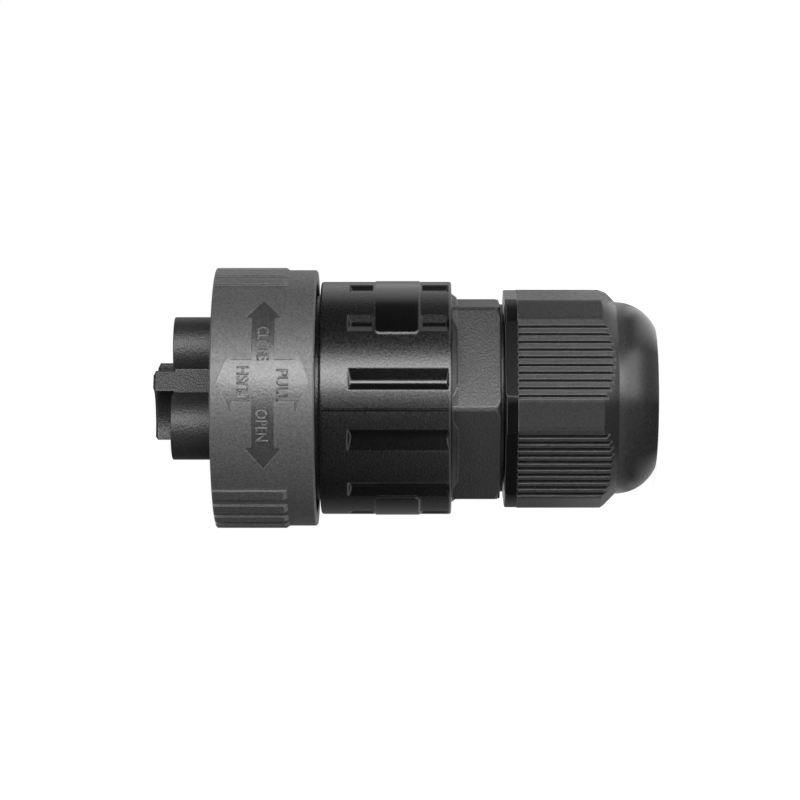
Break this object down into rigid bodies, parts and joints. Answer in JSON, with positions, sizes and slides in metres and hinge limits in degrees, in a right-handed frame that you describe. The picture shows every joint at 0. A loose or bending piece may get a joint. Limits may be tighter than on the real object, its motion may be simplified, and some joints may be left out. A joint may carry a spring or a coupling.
{
  "type": "cable connector",
  "caption": "Round power connector for a cable end, with socket contacts in towers round a Y-shaped barrier, a turning locking ring, a spanner hexagon and a ribbed cable gland.",
  "frame": {"origin": "centre of the flat end of the gland nut, at the bottom", "axes": "+Z along the connector towards the contacts, -Y through a flat of the hexagon and a wing of the barrier"},
  "size_m": [0.04, 0.0392, 0.0767],
  "materials": {
    "housing_plastic": "moulded polyamide, glossy barrel",
    "insert_plastic": "moulded polyamide, satin",
    "ring_plastic": "moulded polyamide, fine matte texture",
    "nut_plastic": "moulded polyamide, satin",
    "cage_plastic": "moulded polyamide, satin",
    "seal_rubber": "moulded rubber",
    "contact_brass": "turned, tin plated",
    "spring_steel": "cold rolled strip",
    "screw_steel": "zinc plated"
  },
  "bodies": {
    "housing": {"housing": "housing_plastic", "contact_insert": "insert_plastic", "contact_retainer": "insert_plastic", "face_seal": "seal_rubber", "insert_oring": "seal_rubber", "contact_line": "contact_brass", "contact_neutral": "contact_brass", "contact_earth": "contact_brass", "spring_line": "spring_steel", "spring_neutral": "spring_steel", "spring_earth": "spring_steel", "screw_line": "screw_steel", "screw_neutral": "screw_steel", "screw_earth": "screw_steel", "guard_line": "spring_steel", "guard_neutral": "spring_steel", "guard_earth": "spring_steel"},
    "locking_ring": {"locking_ring": "ring_plastic"},
    "clamp": {"clamp_cage": "cage_plastic", "gland_seal": "seal_rubber"},
    "gland_nut": {"gland_nut": "nut_plastic"}
  },
  "joints": [
    {"name": "ring_turn", "type": "hinge", "parent": "housing", "child": "locking_ring", "pos_m": [0, 0, 0.06], "axis": [0, 0, 1], "range_deg": [0, 33]},
    {"name": "clamp_slide", "type": "slide", "parent": "housing", "child": "clamp", "axis": [0, 0, -1], "range_m": [0, 0.006]},
    {"name": "nut_turn", "type": "hinge", "parent": "clamp", "child": "gland_nut", "pos_m": [0, 0, 0.012], "axis": [0, 0, -1], "range_deg": [0, 1440]}
  ],
  "couplings": [
    {"joint": "clamp_slide", "follows": "nut_turn", "m_per_rad": 0.00023873}
  ]
}
